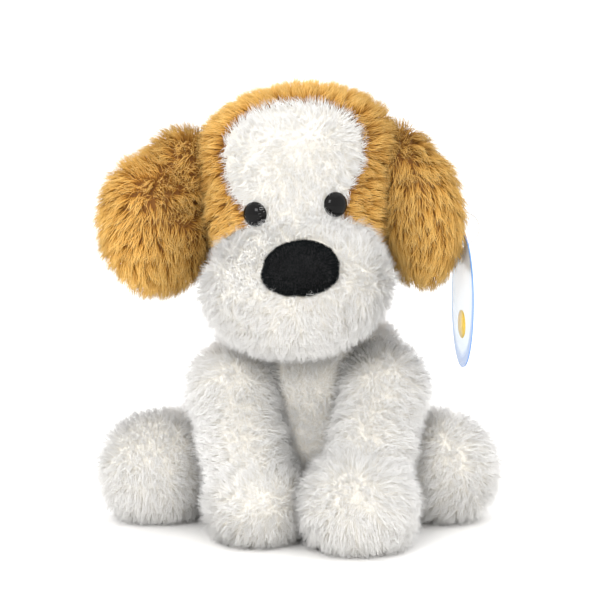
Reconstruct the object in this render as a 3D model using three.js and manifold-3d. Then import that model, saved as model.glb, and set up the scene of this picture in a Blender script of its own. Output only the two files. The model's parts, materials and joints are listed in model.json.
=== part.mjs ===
// A stuffed toy dog that sits upright, as its sewn fabric panels, its stuffing and its hard trim.
// Millimetres, +Z up. The dog faces -Y, its own left is +X, and the origin is the middle of its flat seat.

import * as THREE from "three";
import { mergeVertices } from "three/addons/utils/BufferGeometryUtils.js";
import Module from "manifold-3d";

const wasm = await Module();
wasm.setup();

// ---------- driving dimensions ----------

const FABRIC = 2; // plush backing and its pressed pile
const GAP = 0.3; // between pieces that touch
const CLEAR = 1.8; // between pieces that move against each other
const SMOOTH = 10; // facets round a soft part
const ROUND = 12; // facets round a joint ball

const WHITE = 0xf1efea;
const TAN = 0xb4823a;
const BLACK = 0x141516;
const FIBRE = 0xf6f5f0;

// each soft lump is an ellipsoid: its middle, its half sizes, its slant back and its lean to the side
const RUMP = { at: [0, 0, 40], half: [52, 46, 46] };
const CHEST = { at: [3, -14, 74], half: [49, 35, 34] };

const NECK = { at: [4, -22, 105], radius: 25 };
const HEAD_ROLL = -7; // degrees about Y, its left ear held higher
// head pieces are placed from the neck, before the roll
const SKULL = { at: [0, -10, 58], half: [46, 46, 50] };
const CROWN = { at: [3, -10, 81.5], half: [48, 40, 29.5] };
const MUZZLE = { at: [-4, -46, 21], half: [45, 31, 30] };
const NOSE = { at: [-0.5, -76, 34.5], half: [18, 9, 12.5] };
const BLAZE = { middle: 76, halfWidth: 33.5, halfHeight: 29 };
const EYE = { across: 18.4, up: 59.4, radius: 6, domeHeight: 4.6, shankRadius: 1.75, shankLength: 13 };
const WASHER = { radius: 6.5, bore: 2.1, thickness: 1.6 };

const EARS = {
  left: {
    root: { at: [49, -8, 70], half: [17, 18, 17] },
    lobe: { at: [59, -15, 45], half: [18, 22, 31] },
  },
  right: {
    root: { at: [-51, -8, 79], half: [18, 18, 17] },
    lobe: { at: [-68, -15, 56], half: [25, 22, 30] },
  },
};

const FORELEGS = {
  left: {
    ball: { at: [39, -39, 70], radius: 21 },
    upper: { at: [34, -56, 47], half: [18, 18, 33], slant: 25, lean: 10 },
    paw: { at: [27, -76, 20], half: [27, 28, 24] },
  },
  right: {
    ball: { at: [-33, -39, 70], radius: 21 },
    upper: { at: [-28, -53, 46], half: [19, 18, 33], slant: 18, lean: -10 },
    paw: { at: [-22, -62, 18], half: [23, 25, 21] },
  },
};

const HINDLEGS = {
  left: {
    ball: { at: [38, 8, 31], radius: 23 },
    thigh: { at: [54, -6, 26], half: [23, 21, 25] },
    foot: { at: [71, -22, 25.5], half: [26, 21, 26.5] },
  },
  right: {
    ball: { at: [-38, 8, 31], radius: 23 },
    thigh: { at: [-55, -6, 26], half: [23, 21, 25] },
    foot: { at: [-73, -22, 25.5], half: [27, 21, 26.5] },
  },
};

const TAIL = {
  ball: { at: [0, 43, 22], radius: 12 },
  length: { at: [0, 64, 38], half: [12, 15, 27], slant: 35 },
};

const POUCH = { at: [0, -2, 10], half: [14, 18, 8] };
const LABEL = { at: [31, 45, 40], width: 0.6, reach: 15, height: 12, turn: -38 };

const TAG = { hole: [79, -36, 142], halfWidth: 20, height: 66, thickness: 0.6, holeRadius: 2, turn: -12 };
const LOOP = { radius: 8, wire: 0.6 };

// ---------- solids ----------

function matrix(at, turn = [0, 0, 0], scale = [1, 1, 1]) {
  const angles = turn.map(THREE.MathUtils.degToRad);
  const rotation = new THREE.Quaternion().setFromEuler(new THREE.Euler(...angles));
  return new THREE.Matrix4().compose(new THREE.Vector3(...at), rotation, new THREE.Vector3(...scale));
}

function solid(geometry, placed = new THREE.Matrix4()) {
  const bare = geometry.clone().applyMatrix4(placed);
  bare.deleteAttribute("normal");
  bare.deleteAttribute("uv");
  const merged = mergeVertices(bare, 1e-4);
  return new wasm.Manifold(
    new wasm.Mesh({
      numProp: 3,
      vertProperties: new Float32Array(merged.attributes.position.array),
      triVerts: new Uint32Array(merged.index.array),
    }),
  );
}

function geometryOf(manifold) {
  const mesh = manifold.getMesh();
  const geometry = new THREE.BufferGeometry();
  geometry.setAttribute("position", new THREE.BufferAttribute(new Float32Array(mesh.vertProperties), 3));
  geometry.setIndex(new THREE.BufferAttribute(new Uint32Array(mesh.triVerts), 1));
  return geometry;
}

function lump({ at, half, slant = 0, lean = 0 }, inset = 0) {
  const sphere = new THREE.SphereGeometry(1, SMOOTH, Math.round(SMOOTH * 0.6)).rotateX(Math.PI / 2);
  const scale = half.map((size) => size - inset);
  return solid(sphere, matrix(at, [-slant, lean, 0], scale));
}

function ball({ at, radius }, grow = 0) {
  const size = radius + grow;
  const sphere = new THREE.SphereGeometry(size, ROUND, Math.round(ROUND * 0.6)).rotateX(Math.PI / 2);
  return solid(sphere, matrix(at));
}

function join(...solids) {
  return solids.reduce((whole, piece) => whole.add(piece));
}

// everything on the side of a plane that its normal points to, from half a seam gap beyond it
function beyond(normal, point) {
  const reach = 600;
  const direction = new THREE.Vector3(...normal).normalize();
  const middle = new THREE.Vector3(...point).addScaledVector(direction, reach / 2 + GAP / 2);
  const rotation = new THREE.Quaternion().setFromUnitVectors(new THREE.Vector3(0, 0, 1), direction);
  const placed = new THREE.Matrix4().compose(middle, rotation, new THREE.Vector3(1, 1, 1));
  return solid(new THREE.BoxGeometry(reach, reach, reach), placed);
}

function halves(whole, normal, point) {
  const back = normal.map((value) => -value);
  return [whole.intersect(beyond(normal, point)), whole.intersect(beyond(back, point))];
}

function aboveFloor(inset) {
  return beyond([0, 0, 1], [0, 0, inset - GAP / 2]);
}

// fabric of one thickness round a shape, and the stuffing that fills it
function sewn(shape) {
  return { fabric: shape(0).subtract(shape(FABRIC)), stuffing: shape(FABRIC + GAP) };
}

// ---------- the toy ----------

const dog = new THREE.Group();

const LOOKS = {
  white_plush: { color: WHITE, roughness: 0.95 },
  tan_plush: { color: TAN, roughness: 0.95 },
  black_plush: { color: BLACK, roughness: 0.9 },
  fibre: { color: FIBRE, roughness: 1 },
  gloss_black: { color: 0x08090a, roughness: 0.08 },
  clear_plastic: { color: 0xe8ecee, roughness: 0.25 },
  card: { color: 0xbcdcf2, roughness: 0.35 },
  satin_label: { color: 0xf4f4f2, roughness: 0.5 },
};

function add(parent, name, shape, look) {
  const geometry = shape.isBufferGeometry ? shape : geometryOf(shape);
  const mesh = new THREE.Mesh(geometry, new THREE.MeshStandardMaterial({ ...LOOKS[look], metalness: 0 }));
  mesh.name = name;
  parent.add(mesh);
  return mesh;
}

// ---------- torso ----------

function torsoOutline(inset) {
  return join(lump(RUMP, inset), lump(CHEST, inset));
}

const socketBalls = [
  NECK,
  FORELEGS.left.ball,
  FORELEGS.right.ball,
  HINDLEGS.left.ball,
  HINDLEGS.right.ball,
  TAIL.ball,
];

function openAt(balls, shape) {
  return balls.reduce((rest, socket) => rest.subtract(ball(socket, CLEAR)), shape);
}

function makeTorso() {
  const { fabric, stuffing } = sewn((inset) => torsoOutline(inset).intersect(aboveFloor(inset)));
  const seatLine = [0, 0, 9];
  const sideLine = [0, 2, 0];
  const [body, seat] = halves(openAt(socketBalls, fabric), [0, 0, 1], seatLine);
  const [back, belly] = halves(body, [0, 1, 0], sideLine);
  const [backLeft, backRight] = halves(back, [1, 0, 0], [0, 0, 0]);
  add(dog, "belly_panel", belly, "white_plush");
  add(dog, "back_left_panel", backLeft, "white_plush");
  add(dog, "back_right_panel", backRight, "white_plush");
  add(dog, "seat_panel", seat, "white_plush");

  const pouch = lump(POUCH);
  add(dog, "torso_stuffing", openAt(socketBalls, stuffing).subtract(lump(POUCH, -GAP)), "fibre");
  add(dog, "bean_pouch", pouch.intersect(aboveFloor(FABRIC + GAP)), "satin_label");

  const label = new THREE.BoxGeometry(LABEL.width, LABEL.reach, LABEL.height);
  const placed = solid(label, matrix(LABEL.at, [0, 0, LABEL.turn])).subtract(torsoOutline(-GAP));
  add(dog, "care_label", placed, "satin_label");
}

// ---------- neck and head ----------

const head = new THREE.Group();
head.position.set(...NECK.at);
head.rotation.y = THREE.MathUtils.degToRad(HEAD_ROLL);
dog.add(head);

const neckInHead = { at: [0, 0, 0], radius: NECK.radius };

function skull(inset) {
  return join(lump(SKULL, inset), lump(CROWN, inset), lump(MUZZLE, inset));
}

// the point of the skull's front at a place across and up, and the way it faces there
function faceAt(across, up) {
  const [x, y, z] = SKULL.at;
  const [a, b, c] = SKULL.half;
  const forward = Math.sqrt(1 - ((across - x) / a) ** 2 - ((up - z) / c) ** 2);
  const point = new THREE.Vector3(across, y - b * forward, up);
  const normal = new THREE.Vector3((across - x) / a ** 2, -forward / b, (up - z) / c ** 2).normalize();
  return { point, normal };
}

function eyePlace(side) {
  const { point, normal } = faceAt(side * EYE.across, EYE.up);
  const turned = new THREE.Quaternion().setFromUnitVectors(new THREE.Vector3(0, 0, 1), normal);
  return new THREE.Matrix4().compose(point, turned, new THREE.Vector3(1, 1, 1));
}

function turnedOnLathe(profile, facets = 12) {
  const points = profile.map(([radius, height]) => new THREE.Vector2(radius, height));
  return new THREE.LatheGeometry(points, facets).rotateX(Math.PI / 2);
}

function eyeGeometry() {
  const base = 0.9; // clear of the plush below it
  const profile = [
    [0, -EYE.shankLength],
    [EYE.shankRadius, -EYE.shankLength],
    [EYE.shankRadius, base],
    [EYE.radius * 0.92, base],
    [EYE.radius, base + 0.8],
    [EYE.radius * 0.86, base + EYE.domeHeight * 0.6],
    [EYE.radius * 0.5, base + EYE.domeHeight * 0.92],
    [0, base + EYE.domeHeight],
  ];
  return turnedOnLathe(profile);
}

function washerGeometry() {
  const top = -FABRIC - 4;
  const bottom = top - WASHER.thickness;
  const profile = [
    [WASHER.bore, bottom],
    [WASHER.radius, bottom],
    [WASHER.radius, top],
    [WASHER.bore, top],
    [WASHER.bore, bottom],
  ];
  return turnedOnLathe(profile);
}

function cylinder(radius, low, high) {
  const bar = new THREE.CylinderGeometry(radius, radius, high - low, 12).rotateX(Math.PI / 2);
  return bar.translate(0, 0, (low + high) / 2);
}

function makeHead() {
  add(dog, "neck_stuffing", new THREE.SphereGeometry(NECK.radius, ROUND, 7).translate(...NECK.at), "fibre");

  let { fabric, stuffing } = sewn(skull);
  fabric = openAt([neckInHead], fabric);
  stuffing = openAt([neckInHead], stuffing);
  const places = { left: eyePlace(1), right: eyePlace(-1) };
  for (const place of Object.values(places)) {
    fabric = fabric.subtract(solid(cylinder(WASHER.bore + GAP, -9, 9), place));
    stuffing = stuffing.subtract(solid(cylinder(WASHER.bore + GAP, -EYE.shankLength - 1, 0), place));
    stuffing = stuffing.subtract(solid(cylinder(WASHER.radius + GAP, -FABRIC - 6.5, 0), place));
  }
  add(head, "head_stuffing", stuffing, "fibre");

  const muzzle = fabric.intersect(lump(MUZZLE, -1));
  const cap = fabric.subtract(lump(MUZZLE, -1 - GAP));
  const [cheeks, chin] = halves(muzzle, [0, 0, 1], [0, 0, 2]);
  const [cheekLeft, cheekRight] = halves(cheeks, [1, 0, 0], [MUZZLE.at[0], 0, 0]);
  add(head, "muzzle_left_panel", cheekLeft, "white_plush");
  add(head, "muzzle_right_panel", cheekRight, "white_plush");
  add(head, "chin_panel", chin, "white_plush");

  const [back, front] = halves(cap, [0, 1, 0], [0, 4, 0]);
  const oval = new THREE.CylinderGeometry(1, 1, 120, 24);
  const ovalAt = [0, -80, BLAZE.middle];
  const blaze = solid(oval, matrix(ovalAt, [0, 0, 0], [BLAZE.halfWidth, 1, BLAZE.halfHeight]));
  const room = [BLAZE.halfWidth + GAP, 1.1, BLAZE.halfHeight + GAP];
  const sides = front.subtract(solid(oval, matrix(ovalAt, [0, 0, 0], room)));
  const [sideLeft, sideRight] = halves(sides, [1, 0, 0], [0, 0, 0]);
  add(head, "forehead_panel", front.intersect(blaze), "white_plush");
  add(head, "head_left_panel", sideLeft, "tan_plush");
  add(head, "head_right_panel", sideRight, "tan_plush");
  add(head, "head_back_panel", back, "tan_plush");

  const underNose = lump(MUZZLE, -GAP);
  const cover = lump(NOSE).subtract(underNose).subtract(lump(NOSE, FABRIC));
  add(head, "nose_cover", cover, "black_plush");
  add(head, "nose_stuffing", lump(NOSE, FABRIC + GAP).subtract(underNose), "fibre");

  for (const [side, place] of Object.entries(places)) {
    add(head, `eye_${side}`, eyeGeometry().applyMatrix4(place), "gloss_black");
    add(head, `eye_washer_${side}`, washerGeometry().applyMatrix4(place), "clear_plastic");
  }
}

// ---------- ears ----------

function ear({ root, lobe }, inset) {
  const grow = -CLEAR - inset;
  return join(lump(root, inset), lump(lobe, inset)).subtract(skull(grow));
}

// the tag hangs from the lowest point of a loop that goes through the lobe's outer side
const loopAt = [TAG.hole[0], TAG.hole[1], TAG.hole[2] + LOOP.radius];

function loopSolid(grow = 0) {
  const ring = new THREE.TorusGeometry(LOOP.radius, LOOP.wire + grow, 6, 18).rotateX(Math.PI / 2);
  return solid(ring, matrix(loopAt));
}

function makeEar(side) {
  const outward = side === "left" ? 1 : -1;
  const { fabric, stuffing } = sewn((inset) => ear(EARS[side], inset));
  const seam = [EARS[side].lobe.at[0] - outward * 4, 0, EARS[side].lobe.at[2]];
  const tilt = EARS[side].root.at[0] - EARS[side].lobe.at[0];
  const facing = [outward, 0, -tilt * outward / (EARS[side].root.at[2] - EARS[side].lobe.at[2])];
  const [outer, inner] = halves(fabric, facing, seam);
  let panels = { outer, inner, padding: stuffing };
  if (side === "left") {
    head.updateMatrixWorld(true);
    const intoHead = head.matrixWorld.clone().invert();
    const loop = solid(geometryOf(loopSolid(GAP)), intoHead);
    panels = Object.fromEntries(Object.entries(panels).map(([name, piece]) => [name, piece.subtract(loop)]));
  }
  add(head, `ear_${side}_outer_panel`, panels.outer, "tan_plush");
  add(head, `ear_${side}_inner_panel`, panels.inner, "tan_plush");
  add(head, `ear_${side}_padding`, panels.padding, "fibre");
}

function makeTag() {
  const above = 5; // card over the hole
  const oval = new THREE.Shape();
  oval.absellipse(0, above - TAG.height / 2, TAG.halfWidth, TAG.height / 2, 0, Math.PI * 2);
  const hole = new THREE.Path();
  hole.absellipse(0, 0, TAG.holeRadius, TAG.holeRadius, 0, Math.PI * 2);
  oval.holes.push(hole);
  const card = new THREE.ExtrudeGeometry(oval, {
    depth: TAG.thickness,
    bevelEnabled: false,
    curveSegments: 8,
  });
  card.translate(0, 0, -TAG.thickness / 2).rotateX(Math.PI / 2).rotateZ(Math.PI / 2);
  const mesh = add(dog, "hang_tag", card, "card");
  mesh.position.set(...TAG.hole);
  mesh.rotation.z = THREE.MathUtils.degToRad(-TAG.turn);
  add(dog, "tag_fastener", loopSolid(), "clear_plastic");
}

// ---------- legs and tail ----------

// a limb's panels end at the torso, and its stuffing goes on into a ball in the torso's opening
function limb(side, name, parts, sole) {
  const outline = (inset) => join(ball(parts.ball, -inset), ...parts.lumps.map((piece) => lump(piece, inset)));
  const { fabric, stuffing } = sewn((inset) => outline(inset).intersect(aboveFloor(inset)));
  const beside = torsoOutline(-CLEAR);
  const [upper, under] = halves(fabric.subtract(beside), sole.normal, sole.point);
  const [outer, inner] = halves(upper, sole.split, parts.lumps[0].at);
  const root = ball(parts.ball, -FABRIC - GAP);
  add(dog, `${name}_${side}_outer_panel`, outer, "white_plush");
  add(dog, `${name}_${side}_inner_panel`, inner, "white_plush");
  add(dog, `${name}_${side}_sole_panel`, under, "white_plush");
  add(dog, `${name}_${side}_stuffing`, stuffing.subtract(beside).add(root), "fibre");
}

function makeLegs() {
  for (const [side, outward] of [["left", 1], ["right", -1]]) {
    const fore = FORELEGS[side];
    const foreParts = { ball: fore.ball, lumps: [fore.upper, fore.paw] };
    limb(side, "foreleg", foreParts, { normal: [0, 0, 1], point: [0, 0, 8], split: [outward, 0, 0] });
    const hind = HINDLEGS[side];
    const hindParts = { ball: hind.ball, lumps: [hind.thigh, hind.foot] };
    limb(side, "hindleg", hindParts, { normal: [0, 0, 1], point: [0, 0, 8], split: [outward, -0.6, 0] });
  }
}

function makeTail() {
  const shape = (inset) => join(ball(TAIL.ball, -inset), lump(TAIL.length, inset));
  const { fabric, stuffing } = sewn(shape);
  const [left, right] = halves(fabric.subtract(torsoOutline(-CLEAR)), [1, 0, 0], [0, 0, 0]);
  add(dog, "tail_left_panel", left, "tan_plush");
  add(dog, "tail_right_panel", right, "tan_plush");
  add(dog, "tail_stuffing", stuffing, "fibre");
}

makeTorso();
makeHead();
makeEar("left");
makeEar("right");
makeTag();
makeLegs();
makeTail();

export default dog;
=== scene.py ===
"""A sitting plush puppy: plump sewn skins covered in real pile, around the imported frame."""

import json
import math

import bmesh
import bpy
import numpy as np
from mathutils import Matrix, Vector, kdtree
from mathutils.bvhtree import BVHTree


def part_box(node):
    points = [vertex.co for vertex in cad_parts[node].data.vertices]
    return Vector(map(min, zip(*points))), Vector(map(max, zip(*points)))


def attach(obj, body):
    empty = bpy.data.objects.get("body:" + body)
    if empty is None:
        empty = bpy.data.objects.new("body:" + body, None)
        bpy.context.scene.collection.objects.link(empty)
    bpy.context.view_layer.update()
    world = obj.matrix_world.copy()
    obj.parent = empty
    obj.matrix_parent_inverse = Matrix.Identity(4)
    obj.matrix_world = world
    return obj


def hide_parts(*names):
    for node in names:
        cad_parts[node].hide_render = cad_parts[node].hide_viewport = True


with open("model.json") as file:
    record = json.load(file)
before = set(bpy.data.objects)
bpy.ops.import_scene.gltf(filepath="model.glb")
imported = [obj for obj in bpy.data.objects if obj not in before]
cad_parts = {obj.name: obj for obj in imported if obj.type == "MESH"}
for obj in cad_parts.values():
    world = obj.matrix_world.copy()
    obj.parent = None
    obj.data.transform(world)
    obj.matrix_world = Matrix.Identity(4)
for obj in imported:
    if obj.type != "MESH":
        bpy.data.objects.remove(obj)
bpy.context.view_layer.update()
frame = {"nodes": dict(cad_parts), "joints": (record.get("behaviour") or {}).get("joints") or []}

MM = 0.001
NODES = frame["nodes"]
scene = bpy.context.scene

# ---------- camera, light and floor ----------

CAMERA_DISTANCE = 1.15
CAMERA_ELEVATION = math.radians(9)
CAMERA_LENS = 139.5
AIM = Vector((-0.001, -0.03, 0.1135))
FLOOR_HALF = 20.0
WORLD_STRENGTH = 1.42


def make_camera():
    data = bpy.data.cameras.new("camera")
    data.lens = CAMERA_LENS
    data.sensor_width = 36
    camera = bpy.data.objects.new("camera", data)
    scene.collection.objects.link(camera)
    back = Vector((0, -math.cos(CAMERA_ELEVATION), math.sin(CAMERA_ELEVATION)))
    camera.location = AIM + back * CAMERA_DISTANCE
    camera.rotation_euler = (-back).to_track_quat("-Z", "Y").to_euler()
    scene.camera = camera


def make_light(name, place, size, power, target=(0, 0, 0.1)):
    data = bpy.data.lights.new(name, "AREA")
    data.shape = "SQUARE"
    data.size = size
    data.energy = power
    lamp = bpy.data.objects.new(name, data)
    lamp.location = place
    lamp.rotation_euler = (Vector(target) - Vector(place)).to_track_quat("-Z", "Y").to_euler()
    scene.collection.objects.link(lamp)


def make_studio():
    world = bpy.data.worlds.new("studio")
    world.use_nodes = True
    background = world.node_tree.nodes["Background"]
    background.inputs["Color"].default_value = (1, 1, 1, 1)
    background.inputs["Strength"].default_value = WORLD_STRENGTH
    scene.world = world
    scene.view_settings.view_transform = "Standard"
    make_light("softbox_front", (-0.45, -1.3, 0.85), 0.5, 7.5)
    make_light("softbox_top", (0.3, -0.1, 1.6), 1.6, 4)

    half = FLOOR_HALF
    floor = shape_from("floor", [(-half, -half, 0), (half, -half, 0), (half, half, 0), (-half, half, 0)],
                       [(0, 1, 2, 3)])
    floor.data.materials.append(plain_material("floor_paper", (0.97, 0.962, 0.95), 0.9))


# ---------- materials ----------

def new_material(name, roughness):
    material = bpy.data.materials.new(name)
    material.use_nodes = True
    shader = material.node_tree.nodes["Principled BSDF"]
    shader.inputs["Roughness"].default_value = roughness
    return material, material.node_tree, shader


def plain_material(name, colour, roughness):
    material, _, shader = new_material(name, roughness)
    shader.inputs["Base Color"].default_value = (*colour, 1)
    return material


def ramp(tree, stops):
    node = tree.nodes.new("ShaderNodeValToRGB")
    elements = node.color_ramp.elements
    while len(elements) < len(stops):
        elements.new(0.5)
    for element, (place, colour) in zip(elements, stops):
        element.position = place
        element.color = (*colour, 1)
    return node


# In the ears, the shade across also holds painted shade from their fold.
MAP = "OFBake"  # across: the strand's own shade. along: from its root to its tip.


def own_map(tree):
    node = tree.nodes.new("ShaderNodeUVMap")
    node.uv_map = MAP
    return node.outputs["UV"]


def pile_material(name, stops, shade, gloss=0.25):
    """Colour from root to tip, and each strand lighter or darker by its own shade."""
    material, tree, shader = new_material(name, 0.8)
    shader.inputs["Specular IOR Level"].default_value = gloss
    parts = tree.nodes.new("ShaderNodeSeparateXYZ")
    along = ramp(tree, stops)
    value = tree.nodes.new("ShaderNodeMapRange")
    value.inputs["To Min"].default_value = 1 - shade
    value.inputs["To Max"].default_value = 1 + shade
    tint = tree.nodes.new("ShaderNodeHueSaturation")
    tree.links.new(own_map(tree), parts.inputs["Vector"])
    tree.links.new(parts.outputs["Y"], along.inputs["Fac"])
    tree.links.new(parts.outputs["X"], value.inputs["Value"])
    tree.links.new(value.outputs["Result"], tint.inputs["Value"])
    tree.links.new(along.outputs["Color"], tint.inputs["Color"])
    tree.links.new(tint.outputs["Color"], shader.inputs["Base Color"])
    return material


def grained_material(name, colour, dark, scale, roughness, bump=0.4):
    """One colour with a fine grain, and the grain's own relief."""
    material, tree, shader = new_material(name, roughness)
    noise = tree.nodes.new("ShaderNodeTexNoise")
    noise.inputs["Scale"].default_value = scale
    noise.inputs["Detail"].default_value = 3
    coordinates = tree.nodes.new("ShaderNodeTexCoord")
    tone = ramp(tree, [(0.3, tuple(c * dark for c in colour)), (0.7, colour)])
    height = tree.nodes.new("ShaderNodeBump")
    height.inputs["Strength"].default_value = bump
    height.inputs["Distance"].default_value = 0.4 * MM
    tree.links.new(coordinates.outputs["Object"], noise.inputs["Vector"])
    tree.links.new(noise.outputs["Fac"], tone.inputs["Fac"])
    tree.links.new(tone.outputs["Color"], shader.inputs["Base Color"])
    tree.links.new(noise.outputs["Fac"], height.inputs["Height"])
    tree.links.new(height.outputs["Normal"], shader.inputs["Normal"])
    return material, shader


def eye_material():
    material, shader = grained_material("eye_plastic", (0.004, 0.0035, 0.0035), 0.5, 300, 0.05, bump=0.02)
    shader.inputs["Specular IOR Level"].default_value = 0.17
    return material


def nylon_material():
    material, shader = grained_material("clear_nylon", (0.86, 0.88, 0.90), 0.9, 500, 0.3, bump=0.1)
    shader.inputs["Transmission Weight"].default_value = 0.5
    return material


def card_material():
    """Laminated card, pale blue with a darker blue rim. Its map runs from the hole to the rim, and round."""
    material, tree, shader = new_material("tag_card", 0.22)
    shader.inputs["Coat Weight"].default_value = 0.6
    parts = tree.nodes.new("ShaderNodeSeparateXYZ")
    bands = ramp(tree, [(0.0, (0.86, 0.91, 0.97)), (0.55, (0.80, 0.88, 0.97)), (0.86, (0.62, 0.77, 0.95)),
                        (0.92, (0.16, 0.34, 0.72)), (1.0, (0.12, 0.28, 0.66))])
    tree.links.new(own_map(tree), parts.inputs["Vector"])
    tree.links.new(parts.outputs["X"], bands.inputs["Fac"])
    tree.links.new(bands.outputs["Color"], shader.inputs["Base Color"])
    return material


# Painted warm shade: the white pile turns warm cream towards its roots, for the warm cast in the shaded
# pile; its tips keep the cloth's near-white.
WHITE_PILE = pile_material(
    "white_pile", [(0.0, (0.935, 0.895, 0.81)), (0.5, (0.945, 0.93, 0.895)),
                   (1.0, (0.955, 0.95, 0.94))], 0.02)
TAN_PILE = pile_material(
    "tan_pile", [(0.0, (0.19, 0.068, 0.010)), (0.4, (0.60, 0.28, 0.046)), (0.8, (0.90, 0.53, 0.14)),
                 (1.0, (0.92, 0.69, 0.29))], 0.3)
BLACK_PILE = pile_material(
    "black_velour", [(0.0, (0.001, 0.001, 0.0012)), (1.0, (0.010, 0.013, 0.014))], 0.5, gloss=0.08)
WHITE_BACKING, _ = grained_material("white_backing", (0.93, 0.89, 0.81), 0.9, 900, 0.9)
TAN_BACKING, _ = grained_material("tan_backing", (0.30, 0.13, 0.03), 0.85, 900, 0.9)
BLACK_BACKING, _ = grained_material("black_backing", (0.008, 0.008, 0.009), 0.85, 900, 0.9)
POUCH_CLOTH, _ = grained_material("pouch_cloth", (0.82, 0.80, 0.74), 0.8, 1400, 0.9)
SATIN, _ = grained_material("satin_ribbon", (0.86, 0.86, 0.85), 0.9, 2200, 0.45, bump=0.2)
YELLOW_PRINT, _ = grained_material("yellow_print", (0.95, 0.66, 0.10), 0.9, 900, 0.3, bump=0.02)
EYE_PLASTIC = eye_material()
NYLON = nylon_material()
CARD = card_material()

# ---------- meshes ----------


def link_mesh(name, mesh):
    piece = bpy.data.objects.new(name, mesh)
    scene.collection.objects.link(piece)
    return piece


def smooth_shading(mesh):
    mesh.polygons.foreach_set("use_smooth", np.ones(len(mesh.polygons), bool))
    mesh.update()


def shape_from(name, points, faces):
    mesh = bpy.data.meshes.new(name)
    mesh.from_pydata([tuple(point) for point in points], [], faces)
    smooth_shading(mesh)
    return link_mesh(name, mesh)


def with_modifiers_applied(piece):
    bpy.context.view_layer.update()
    graph = bpy.context.evaluated_depsgraph_get()
    mesh = bpy.data.meshes.new_from_object(piece.evaluated_get(graph), depsgraph=graph)
    piece.modifiers.clear()
    old, piece.data = piece.data, mesh
    bpy.data.meshes.remove(old)
    return piece


def corners(mesh):
    points = np.empty(len(mesh.vertices) * 3)
    mesh.vertices.foreach_get("co", points)
    return points.reshape(-1, 3)


def normals(mesh):
    values = np.empty(len(mesh.vertices) * 3)
    mesh.vertices.foreach_get("normal", values)
    return values.reshape(-1, 3)


def set_corners(mesh, points):
    mesh.vertices.foreach_set("co", np.ascontiguousarray(points).ravel())
    mesh.update()


def tree_of(mesh):
    copy = bmesh.new()
    copy.from_mesh(mesh)
    tree = BVHTree.FromBMesh(copy)
    copy.free()
    return tree


# ---------- skins ----------

SKIN_CELL = 5 * MM
SEAM_REACH = 4 * MM
PUFF = 2.0 * MM  # how far the cloth may swell
PUFF_FRAMES = 20
LOOSE_HOLD = 0.15  # how firmly the cloth is held away from its seams
FLOOR_GAP = 0.3 * MM
ON_FLOOR = 1.5 * MM


def seam_hold(points, panels):
    """1 on the seams between the CAD panels, falling to 0 a little past SEAM_REACH."""
    trees = [tree_of(NODES[panel].data) for panel in panels]
    away = np.array([[tree.find_nearest(point)[3] for tree in trees] for point in points])
    if len(panels) < 2:
        return np.zeros(len(points))
    second = np.sort(away, axis=1)[:, 1]
    return np.clip(1.6 - second / SEAM_REACH, 0, 1)


def puff_up(piece, panels):
    """Cloth with air pressure inside: the panels swell between the seams, which hold."""
    held = piece.vertex_groups.new(name="held")
    start = corners(piece.data)
    for index, weight in enumerate(seam_hold(start, panels)):
        on_floor = start[index, 2] < ON_FLOOR
        held.add([index], 1.0 if on_floor else LOOSE_HOLD + 0.8 * float(weight), "REPLACE")
    cloth = piece.modifiers.new("puff", "CLOTH")
    settings = cloth.settings
    settings.quality = 4
    settings.mass = 0.15
    settings.tension_stiffness = 12
    settings.compression_stiffness = 12
    settings.bending_stiffness = 0.4
    settings.vertex_group_mass = held.name
    settings.use_pressure = True
    settings.uniform_pressure_force = 4
    settings.effector_weights.gravity = 0
    cloth.collision_settings.use_collision = False
    for number in range(1, PUFF_FRAMES + 1):
        scene.frame_set(number)
    with_modifiers_applied(piece)
    scene.frame_set(1)
    moved = corners(piece.data) - start
    far = np.linalg.norm(moved, axis=1, keepdims=True)
    capped = start + moved * np.minimum(1, PUFF / np.maximum(far, 1e-9))
    set_corners(piece.data, capped)
    piece.vertex_groups.clear()


def plump_skin(name, node_names, cell=SKIN_CELL, relax=4, grow=1.0, shape=None):
    """One rounded closed skin around these CAD nodes."""
    joined = bmesh.new()
    for node in node_names:
        joined.from_mesh(NODES[node].data)
    mesh = bpy.data.meshes.new(name)
    joined.to_mesh(mesh)
    joined.free()
    piece = link_mesh(name, mesh)
    remesh = piece.modifiers.new("remesh", "REMESH")
    remesh.mode = "VOXEL"
    remesh.voxel_size = cell
    smooth = piece.modifiers.new("relax", "SMOOTH")
    smooth.factor = 0.5
    smooth.iterations = relax
    with_modifiers_applied(piece)
    set_corners(piece.data, corners(piece.data) + normals(piece.data) * grow * MM)
    panels = [node for node in node_names if not node.endswith(("stuffing", "padding"))]
    puff_up(piece, panels)
    rounder = piece.modifiers.new("rounder", "SUBSURF")
    rounder.levels = 1
    with_modifiers_applied(piece)
    points = corners(piece.data)
    if shape is not None:
        points = shape(points)
    points[:, 2] = np.maximum(points[:, 2], FLOOR_GAP)
    set_corners(piece.data, points)
    smooth_shading(piece.data)
    return piece


def skin_of(body, name, node_names, backing, slot, fill=0.8, **options):
    piece = plump_skin(name, node_names, **options)
    piece.data.materials.append(backing)
    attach(piece, body)
    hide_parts(*node_names)
    return piece


# ---------- pile ----------

MOST_TRIANGLES = 190_000  # in one piece
SOFTNESS = 0.85  # how far a strand is lit as the skin below it is
TIP_SHARE = 0.5  # a strand's width at its last ring, as a share of its width at the root
ROOT_DEPTH = 0.5 * MM


def unit(vectors):
    return vectors / np.maximum(np.linalg.norm(vectors, axis=-1, keepdims=True), 1e-12)


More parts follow.
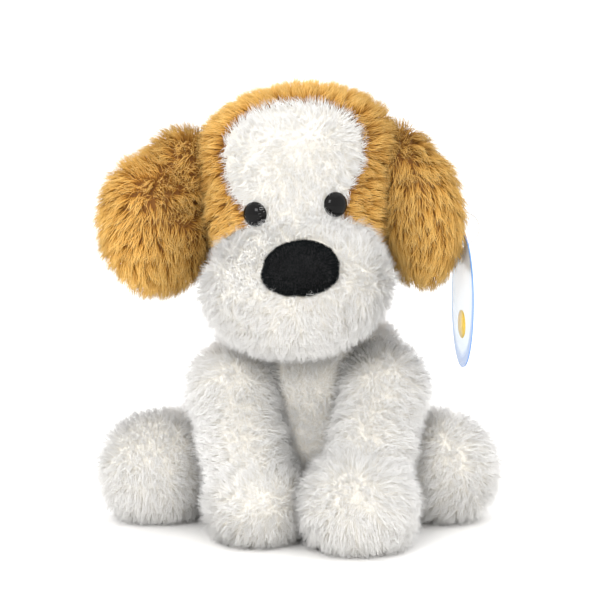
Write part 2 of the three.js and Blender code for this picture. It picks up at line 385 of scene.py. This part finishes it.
class Surface:
    """Random places on a skin, with the way it faces there."""

    def __init__(self, piece):
        mesh = piece.data
        mesh.calc_loop_triangles()
        triangles = np.empty(len(mesh.loop_triangles) * 3, int)
        mesh.loop_triangles.foreach_get("vertices", triangles)
        self.triangles = triangles.reshape(-1, 3)
        self.points = corners(mesh)
        self.normals = normals(mesh)
        a, b, c = (self.points[self.triangles[:, i]] for i in range(3))
        self.area = np.linalg.norm(np.cross(b - a, c - a), axis=1) / 2

    def scatter(self, per_mm2, rng):
        total = self.area.sum()
        count = int(total / MM**2 * per_mm2)
        chosen = rng.choice(len(self.area), count, p=self.area / total)
        u, v = rng.random((2, count))
        flip = u + v > 1
        u[flip], v[flip] = 1 - u[flip], 1 - v[flip]
        weights = np.stack([1 - u - v, u, v], axis=1)[:, :, None]
        corner = self.triangles[chosen]
        place = (self.points[corner] * weights).sum(axis=1)
        facing = unit((self.normals[corner] * weights).sum(axis=1))
        return place, facing


def nearest(points, centres):
    tree = kdtree.KDTree(len(centres))
    for index, centre in enumerate(centres):
        tree.insert(centre, index)
    tree.balance()
    return np.fromiter((tree.find(point)[1] for point in points), int, len(points))


def waves(points, size, rng, count=5):
    """Smooth wandering directions, about `size` metres from one turn to the next."""
    total = np.zeros_like(points)
    for _ in range(count):
        frequency = rng.normal(size=(3, 3)) / size
        phase = rng.random(3) * math.tau
        total += np.sin(points @ frequency.T + phase)
    return total / math.sqrt(count)


def strand_mesh(name, bends, radii, facing, shade, rng):
    """Closed three-sided strands. bends is (count, rings + 1, 3): the ring middles, and the tip last."""
    count, levels, _ = bends.shape
    rings = levels - 1
    start = unit(bends[:, -1] - bends[:, 0])
    side = unit(np.cross(start, rng.normal(size=(count, 3))))
    other = np.cross(start, side)
    angles = np.arange(3) * math.tau / 3
    spokes = side[:, None] * np.cos(angles)[:, None] + other[:, None] * np.sin(angles)[:, None]
    around = bends[:, :rings, None] + spokes[:, None] * radii[None, :rings, None, None]
    points = np.concatenate([around.reshape(count, rings * 3, 3), bends[:, -1:]], axis=1)
    per = rings * 3 + 1

    faces = [(2, 1, 0)]
    for ring in range(rings - 1):
        for k in range(3):
            a, b = ring * 3 + k, ring * 3 + (k + 1) % 3
            faces += [(a, b, b + 3), (a, b + 3, a + 3)]
    last = (rings - 1) * 3
    faces += [(last + k, last + (k + 1) % 3, per - 1) for k in range(3)]
    faces = np.array(faces)
    index = (faces[None] + (np.arange(count) * per)[:, None, None]).reshape(-1)

    mesh = bpy.data.meshes.new(name)
    mesh.vertices.add(count * per)
    mesh.vertices.foreach_set("co", points.astype(np.float32).ravel())
    mesh.loops.add(len(index))
    mesh.loops.foreach_set("vertex_index", index.astype(np.int32))
    mesh.polygons.add(len(index) // 3)
    mesh.polygons.foreach_set("loop_start", np.arange(0, len(index), 3, dtype=np.int32))
    mesh.polygons.foreach_set("use_smooth", np.ones(len(index) // 3, bool))
    mesh.update(calc_edges=True)

    height = np.concatenate([np.repeat(np.arange(rings) / rings, 3), [1.0]])
    map_points = np.stack([np.repeat(shade, per), np.tile(height, count)], axis=1)
    layer = mesh.uv_layers.new(name=MAP)
    layer.data.foreach_set("uv", map_points[index].astype(np.float32).ravel())

    round_way = np.concatenate([np.repeat(spokes[:, None], rings, axis=1).reshape(count, rings * 3, 3),
                                facing[:, None]], axis=1)
    soft = unit(facing[:, None] * SOFTNESS + round_way * (1 - SOFTNESS))
    mesh.normals_split_custom_set_from_vertices(soft.reshape(-1, 3))
    return mesh


def strand_bends(roots, facing, style, comb, rng):
    """Each strand's ring middles and tip: it leans with the comb and bends towards the tip of its tuft."""
    count = len(roots)
    length = style["length"] * MM * rng.uniform(0.75, 1.12, count)[:, None]
    lean = waves(roots, style["swirl"] * MM, rng) * style["stray"]
    if comb is not None:
        lean = lean + comb(roots)
    lean = lean + np.array([0, 0, -style["droop"]])
    lean -= facing * (lean * facing).sum(axis=1, keepdims=True)
    direction = unit(facing + lean)

    tuft_count = max(4, int(count / style["per_tuft"]))
    leaders = rng.choice(count, tuft_count, replace=False)
    group = nearest(roots, roots[leaders])
    tuft_stray = rng.normal(size=(tuft_count, 3)) * style["tuft_stray"]
    tuft_length = rng.uniform(0.9, 1.1, tuft_count)[:, None]
    lead_way = unit(direction[leaders] + tuft_stray)
    lead_tip = roots[leaders] + lead_way * style["length"] * MM * tuft_length
    own_tip = roots + unit(direction + rng.normal(size=(count, 3)) * style["fray"]) * length
    gather = style["gather"] * rng.uniform(0.5, 1.0, count)[:, None]
    reach = own_tip * (1 - gather) + lead_tip[group] * gather - roots
    tip = roots + unit(reach) * np.minimum(np.linalg.norm(reach, axis=1, keepdims=True), length * 1.15)

    base = roots - facing * ROOT_DEPTH
    knee = roots + facing * length * style["stand"]
    steps = np.linspace(0, 1, style["rings"] + 1)[None, :, None]
    bends = ((1 - steps) ** 2 * base[:, None] + 2 * steps * (1 - steps) * knee[:, None]
             + steps**2 * tip[:, None])
    bends[:, :, 2] = np.maximum(bends[:, :, 2], FLOOR_GAP)
    return bends


def grow_pile(name, body, surface, style, keep=None, comb=None, darker=None, seed=1):
    """Pile on the part of a surface where keep(points) holds, leaning along comb(points)."""
    rng = np.random.default_rng(seed)
    roots, facing = surface.scatter(style["density"], rng)
    on_sole = (roots[:, 2] < ON_FLOOR) & (facing[:, 2] < -0.6)
    wanted = ~on_sole
    if keep is not None:
        wanted &= keep(roots)
    roots, facing = roots[wanted], facing[wanted]
    bends = strand_bends(roots, facing, style, comb, rng)
    patches = waves(roots, style["swirl"] * MM * 0.8, rng)[:, 0]
    shade = np.clip(0.5 + 0.16 * patches + 0.3 * (rng.random(len(roots)) - 0.5), 0, 1)
    # Painted shade: darker(points) lowers the strands' shade where shade falls, as in an ear's fold.
    if darker is not None:
        shade = np.clip(shade - darker(roots), 0, 1)

    rings = style["rings"]
    radii = np.linspace(1, TIP_SHARE, rings) * style["width"] * MM / 2
    per_strand = 1 + (rings - 1) * 6 + 3
    shares = math.ceil(len(roots) * per_strand / MOST_TRIANGLES)
    spread = roots.max(axis=0) - roots.min(axis=0)
    order = np.argsort(roots[:, int(np.argmax(spread))])
    for number, share in enumerate(np.array_split(order, shares), 1):
        piece_name = name if shares == 1 else f"{name}_{number}"
        mesh = strand_mesh(piece_name, bends[share], radii, facing[share], shade[share], rng)
        mesh.materials.append(style["material"])
        piece = link_mesh(piece_name, mesh)
        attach(piece, body)


WHITE = dict(material=WHITE_PILE, slot="white_plush", density=1.8, length=9, width=0.4, rings=2, swirl=20,
             stray=0.5, droop=0.15, per_tuft=24, tuft_stray=0.4, fray=0.38, gather=0.5, stand=0.4)
TAN = dict(material=TAN_PILE, slot="tan_plush", density=1.5, length=11, width=0.4, rings=3, swirl=22,
           stray=0.4, droop=0.3, per_tuft=24, tuft_stray=0.38, fray=0.24, gather=0.55, stand=0.42)
VELOUR = dict(material=BLACK_PILE, slot="black_plush", density=9, length=1.5, width=0.28, rings=2, swirl=8,
              stray=0.2, droop=0.0, per_tuft=8, tuft_stray=0.2, fray=0.3, gather=0.2, stand=0.45)

# ---------- the toy ----------


def starting(*starts):
    return [name for name in NODES if name.startswith(starts)]


def middle(node):
    low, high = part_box(node)
    return (np.array(low) + np.array(high)) / 2


def toward(direction, strength):
    way = np.array(direction, float) * strength
    return lambda points: np.broadcast_to(way, points.shape)


HEAD_PIVOT = np.array(next(joint["pos_m"] for joint in frame["joints"] if joint["name"] == "head_nod"))
HEAD_ROLL = math.radians(7)


def in_head(points):
    """Across and up the face, from the neck, with the head's tilt taken off, in millimetres."""
    offset = (points - HEAD_PIVOT) / MM
    across = offset[:, 0] * math.cos(HEAD_ROLL) + offset[:, 2] * math.sin(HEAD_ROLL)
    up = -offset[:, 0] * math.sin(HEAD_ROLL) + offset[:, 2] * math.cos(HEAD_ROLL)
    return across, offset[:, 1], up


def make_torso():
    nodes = ["belly_panel", "back_left_panel", "back_right_panel", "seat_panel", "torso_stuffing"]
    surface = Surface(skin_of("torso", "torso_skin", nodes, WHITE_BACKING, "white_plush"))
    grow_pile("torso_pile", "torso", surface, WHITE, None, toward((0, 0, -1), 0.3), seed=11)
    neck = skin_of("neck", "neck_skin", ["neck_stuffing"], WHITE_BACKING, "white_plush", grow=-1.0)
    ruff = dict(WHITE, length=10)
    grow_pile("neck_pile", "neck", Surface(neck), ruff, None, toward((0, 0, -1), 0.2), seed=12)
    skin_of("torso", "pellet_pouch", ["bean_pouch"], POUCH_CLOTH, "pellet_cloth", fill=0.7,
            cell=2.5 * MM, grow=-0.5)


def make_limbs():
    for kind, seed in (("foreleg", 21), ("hindleg", 31)):
        for side in ("left", "right"):
            body = f"{kind}_{side}"
            skin = skin_of(body, f"{body}_skin", starting(body), WHITE_BACKING, "white_plush")
            comb = toward((0, -0.3, -1), 0.35)
            grow_pile(f"{body}_pile", body, Surface(skin), WHITE, None, comb, seed=seed)
            seed += 1


# The face, in millimetres from the neck and with the head's tilt taken off (in_head). The blaze widens
# above the eyes and closes at the crown. The muzzle and the nose are ellipses.
BLAZE_LOW, BLAZE_WIDE, BLAZE_TOP = 58, 84, 106.5
BLAZE_NARROW_HALF, BLAZE_WIDE_HALF, BLAZE_SHIFT = 21.5, 32.5, 2
MUZZLE_AT, MUZZLE_HALF = np.array([-4, -46, 21]), np.array([49.5, 35, 34.5])
NOSE_AT, NOSE_HALF = np.array([-0.5, 34.5]), np.array([17, 11.5])
NOSE_BACK = -60
THROAT_UP = 22
SEAM_TURN, SEAM_FADE = 5, 14  # across from the muzzle's seam: its pile parts, then lies even again


def on_blaze(points):
    across, depth, up = in_head(points)
    widening = np.clip((up - BLAZE_LOW) / (BLAZE_WIDE - BLAZE_LOW), 0, 1)
    half = BLAZE_NARROW_HALF + (BLAZE_WIDE_HALF - BLAZE_NARROW_HALF) * np.sin(widening * math.pi / 2)
    closing = np.clip((up - BLAZE_WIDE) / (BLAZE_TOP - BLAZE_WIDE), 0, 1)
    half = half * np.sqrt(1 - closing**2.6)
    return (np.abs(across - BLAZE_SHIFT * widening) < half) & (depth < -8)


def on_muzzle(points):
    place = np.stack(in_head(points), axis=1)
    return (((place - MUZZLE_AT) / MUZZLE_HALF) ** 2).sum(axis=1) < 1


def under_nose(points):
    across, depth, up = in_head(points)
    flat = np.stack([across, up], axis=1)
    return ((((flat - NOSE_AT) / NOSE_HALF) ** 2).sum(axis=1) < 1) & (depth < NOSE_BACK)


def off_seam(points):
    """The muzzle's pile parts along its middle seam, and lies back and down."""
    across = in_head(points)[0] - MUZZLE_AT[0]
    part = np.clip(across / SEAM_TURN, -1, 1) * np.exp(-np.abs(across) / SEAM_FADE) * 0.5
    return np.stack([part, np.full(len(points), 0.05), np.full(len(points), -0.15)], axis=1)


def make_head():
    nodes = starting("muzzle", "chin", "forehead", "head_")
    skin = skin_of("head", "head_skin", nodes, WHITE_BACKING, "white_plush")
    surface = Surface(skin)
    throat = lambda p: in_head(p)[2] < THROAT_UP
    blaze = lambda p: ~on_muzzle(p) & on_blaze(p)
    rest = lambda p: ~on_muzzle(p) & ~on_blaze(p)
    tan_front = lambda p: rest(p) & ~throat(p) & (in_head(p)[1] < 0)
    tan_back = lambda p: rest(p) & ~throat(p) & (in_head(p)[1] >= 0)
    outward = lambda p: np.stack([np.clip((in_head(p)[0] - BLAZE_SHIFT) / 20, -1, 1) * 0.45,
                                  np.full(len(p), 0.35), np.full(len(p), -0.35)], axis=1)
    skin.data.materials.append(TAN_BACKING)
    centres = np.array([polygon.center for polygon in skin.data.polygons])
    skin.data.polygons.foreach_set("material_index", (rest(centres) & ~throat(centres)).astype(np.int32))
    cheeks = lambda p: on_muzzle(p) & ~under_nose(p)
    grow_pile("muzzle_pile", "head", surface, dict(WHITE, length=8), cheeks, off_seam, seed=41)
    white = dict(WHITE, length=7)
    grow_pile("forehead_pile", "head", surface, white, blaze, toward((0, 0, 1), 0.15), seed=43)
    grow_pile("throat_pile", "head", surface, WHITE, lambda p: rest(p) & throat(p), None, seed=44)
    tan = dict(TAN, length=8.5)
    grow_pile("head_front_pile", "head", surface, tan, tan_front, outward, seed=45)
    grow_pile("head_back_pile", "head", surface, tan, tan_back, toward((0, 0.5, -0.8), 0.5), seed=46)


def make_ears():
    for side, outward, seed in (("left", 1, 61), ("right", -1, 71)):
        body = f"ear_{side}"
        skin = skin_of(body, f"{body}_skin", starting(body), TAN_BACKING, "tan_plush", fill=0.5)
        centre = middle(f"{body}_padding")
        # Painted shade: the ear's strands darken towards its inner side by the head, for the shade in its
        # fold.
        painted_fold_shade = lambda p, c=centre, o=outward: 0.25 * np.clip(1 - (p[:, 0] - c[0]) * o / (8 * MM), 0, 1.6)
        comb = toward((outward * 0.5, -0.1, -1), 0.75)
        grow_pile(f"{body}_pile", body, Surface(skin), TAN, None, comb, painted_fold_shade, seed=seed)


def make_tail():
    skin = skin_of("tail", "tail_skin", starting("tail_"), TAN_BACKING, "tan_plush")
    tan = dict(TAN, length=9)
    grow_pile("tail_pile", "tail", Surface(skin), tan, None, toward((0, 0.7, 0.6), 0.7), seed=81)


def nose_outline(points):
    """The nose's dome, with its lower half widened towards a square."""
    low, high = (np.array(corner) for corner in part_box("nose_cover"))
    centre, half = (low + high) / 2, (high - low) / 2
    below = np.clip((centre[2] - points[:, 2]) / half[2], 0, 1)
    points = points.copy()
    points[:, 0] = centre[0] + (points[:, 0] - centre[0]) * (1 + 0.22 * below)
    return points


def make_nose():
    skin = skin_of("head", "nose_skin", ["nose_cover", "nose_stuffing"], BLACK_BACKING, "black_plush",
                   cell=1.8 * MM, relax=3, grow=0.4, shape=nose_outline)
    grow_pile("nose_pile", "head", Surface(skin), VELOUR, seed=91)


# ---------- hard trim ----------

SHANK_STEP = 1 * MM
CARD_HALF = 0.3 * MM
HOLE_DROP, HOLE_RADIUS = 5 * MM, 2 * MM
SPOT_RADIUS, SPOT_THICK = 7 * MM, 0.08 * MM


def placed_on(axis_point, axis, ring_points):
    """Points given across, across and along an axis, put in place."""
    turn = Vector((0, 0, 1)).rotation_difference(Vector(axis)).to_matrix()
    return [tuple(turn @ Vector(point) + Vector(axis_point)) for point in ring_points]


def turned(name, outline, segments, axis_point, axis):
    """A closed turned shape. outline is (radius, height) from the bottom of the axis to its top."""
    rings = outline[1:-1]
    points = [(0, 0, outline[0][1])]
    for radius, height in rings:
        for k in range(segments):
            angle = math.tau * k / segments
            points.append((radius * math.cos(angle), radius * math.sin(angle), height))
    points.append((0, 0, outline[-1][1]))
    last = len(points) - 1
    faces = []
    for k in range(segments):
        after = (k + 1) % segments
        faces.append((0, 1 + after, 1 + k))
        for ring in range(len(rings) - 1):
            a, b = 1 + ring * segments, 1 + (ring + 1) * segments
            faces.append((a + k, a + after, b + after, b + k))
        top = 1 + (len(rings) - 1) * segments
        faces.append((top + k, top + after, last))
    return shape_from(name, placed_on(axis_point, axis, points), faces)


def make_eye(side):
    """A glossy dome on a shank, on the axis of the CAD eye."""
    node = f"eye_{side}"
    points = corners(NODES[node].data)
    away = points - points.mean(axis=0)
    axis = np.linalg.svd(away, full_matrices=False)[2][0]
    axis = axis * -np.sign(axis[1])
    along = away @ axis
    across = np.linalg.norm(away - along[:, None] * axis, axis=1)
    radius, top = across.max(), along.max()
    low = along.min()
    shank = across[along < low + SHANK_STEP].max()
    rim = along[across > radius * 0.98].mean()
    outline = [(0, low), (shank, low), (shank, rim - 1.0 * MM), (radius * 0.9, rim - 0.9 * MM)]
    for step in range(13):
        angle = math.pi / 2 * step / 13
        outline.append((radius * math.cos(angle), rim + (top - rim) * math.sin(angle)))
    outline.append((0, top))
    eye = turned(f"{node}_dome", outline, 48, points.mean(axis=0), axis)
    eye.data.materials.append(EYE_PLASTIC)
    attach(eye, "head")
    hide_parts(node)


def make_tag():
    """An oval card with a round hole, a blue rim and one plain yellow spot."""
    points = corners(NODES["hang_tag"].data)
    low, high = points.min(axis=0), points.max(axis=0)
    centre = (low + high) / 2
    level = points[np.abs(points[:, 2] - centre[2]) < 4 * MM]
    wide = level[level[:, 1].argmin()] - level[level[:, 1].argmax()]
    wide[2] = 0
    side = wide / np.linalg.norm(wide)
    through = np.cross(side, (0, 0, 1))
    half_width = np.abs((points - centre) @ side).max()
    half_height = (high[2] - low[2]) / 2
    segments = 64
    hole_up = half_height - HOLE_DROP
    rings = [0.0, 0.3, 0.6, 0.86, 0.92, 1.0]
    made, mapped = [], []
    for face in (1, -1):
        for reach in rings:
            for k in range(segments):
                angle = math.tau * k / segments
                hole = side * math.cos(angle) * HOLE_RADIUS
                hole = hole + np.array([0, 0, 1]) * (hole_up + math.sin(angle) * HOLE_RADIUS)
                edge = side * math.cos(angle) * half_width
                edge = edge + np.array([0, 0, 1]) * math.sin(angle) * half_height
                made.append(centre + hole * (1 - reach) + edge * reach + through * CARD_HALF * face)
                mapped.append((reach, k / segments))
    faces = []
    count = len(rings)
    for k in range(segments):
        after = (k + 1) % segments
        for ring in range(count - 1):
            a, b = ring * segments, (ring + 1) * segments
            faces.append((a + k, b + k, b + after, a + after))
            back = count * segments
            faces.append((back + a + after, back + b + after, back + b + k, back + a + k))
        rim, back_rim = (count - 1) * segments, (2 * count - 1) * segments
        faces.append((rim + k, back_rim + k, back_rim + after, rim + after))
        faces.append((k, after, count * segments + after, count * segments + k))
    tag = shape_from("tag_card", made, faces)
    layer = tag.data.uv_layers.new(name=MAP)
    for loop in tag.data.loops:
        layer.data[loop.index].uv = mapped[loop.vertex_index]
    tag.data.shade_flat()
    tag.data.materials.append(CARD)
    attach(tag, "tag")
    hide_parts("hang_tag")

    for face, word in ((1, "front"), (-1, "back")):
        spot_at = centre - np.array([0, 0, 1]) * half_height * 0.35 + through * CARD_HALF * face
        outline = [(0, 0), (SPOT_RADIUS, 0), (SPOT_RADIUS, SPOT_THICK), (0, SPOT_THICK)]
        spot = turned(f"tag_spot_{word}", outline, 32, spot_at, through * face)
        spot.data.materials.append(YELLOW_PRINT)
        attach(spot, "tag")


def make_loop():
    """The clear nylon loop that the tag hangs from."""
    low, high = (np.array(corner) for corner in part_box("tag_fastener"))
    centre, half = (low + high) / 2, (high - low) / 2
    wire = half[1]
    ring = half[0] - wire
    segments, sides = 64, 12
    points, faces = [], []
    for k in range(segments):
        angle = math.tau * k / segments
        out = np.array([math.cos(angle), 0, math.sin(angle)])
        for j in range(sides):
            turn = math.tau * j / sides
            aside = np.array([0, wire * math.sin(turn), 0])
            points.append(centre + out * (ring + wire * math.cos(turn)) + aside)
            a, b = k * sides, (k + 1) % segments * sides
            faces.append((a + j, b + j, b + (j + 1) % sides, a + (j + 1) % sides))
    loop = shape_from("tag_loop", points, faces)
    loop.data.materials.append(NYLON)
    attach(loop, "ear_left")
    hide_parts("tag_fastener")


def make_label():
    """A blank satin ribbon, folded over at its free end."""
    points = corners(NODES["care_label"].data)
    low, high = points.min(axis=0), points.max(axis=0)
    centre = (low + high) / 2
    half_height = (high[2] - low[2]) / 2
    inner = points[points[:, 1] < low[1] + 1.0 * MM].mean(axis=0)
    outer = points[points[:, 1] > high[1] - 1.0 * MM].mean(axis=0)
    way = (outer - inner) * np.array([1, 1, 0])
    reach = np.linalg.norm(way)
    way /= reach
    aside = np.cross(way, (0, 0, 1))
    start = np.array([inner[0], inner[1], centre[2]]) - way * 2 * MM
    length, gap, steps = reach + 1.5 * MM, 0.5 * MM, 12
    line = []
    for step in range(steps + 1):
        along = length * step / steps
        line.append((along, gap))
    for step in range(1, 6):
        angle = math.pi * step / 6
        line.append((length + gap * math.sin(angle), gap * math.cos(angle)))
    for step in range(steps, -1, -1):
        along = length * step / steps
        line.append((along, -gap))
    made, faces = [], []
    thick = 0.12 * MM
    for index, (along, off) in enumerate(line):
        before, after = line[max(index - 1, 0)], line[min(index + 1, len(line) - 1)]
        run = np.array([after[0] - before[0], after[1] - before[1]])
        across = np.array([-run[1], run[0]]) / np.linalg.norm(run)
        for layer in (thick, -thick):
            for height in (-half_height, half_height):
                place = start + way * (along + across[0] * layer) + aside * (off + across[1] * layer)
                made.append(place + np.array([0, 0, height]))
    for index in range(len(line) - 1):
        a, b = index * 4, (index + 1) * 4
        faces += [(a, a + 1, b + 1, b), (a + 2, b + 2, b + 3, a + 3),
                  (a, b, b + 2, a + 2), (a + 1, a + 3, b + 3, b + 1)]
    last = (len(line) - 1) * 4
    faces += [(0, 2, 3, 1), (last, last + 1, last + 3, last + 2)]
    ribbon = shape_from("care_ribbon", made, faces)
    ribbon.data.materials.append(SATIN)
    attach(ribbon, "torso")
    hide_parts("care_label")


def finish_washers():
    for side in ("left", "right"):
        washer = NODES[f"eye_washer_{side}"]
        washer.data.materials.clear()
        washer.data.materials.append(NYLON)


make_camera()
make_studio()
make_torso()
make_limbs()
make_head()
make_ears()
make_tail()
make_nose()
make_eye("left")
make_eye("right")
make_tag()
make_loop()
make_label()
finish_washers()
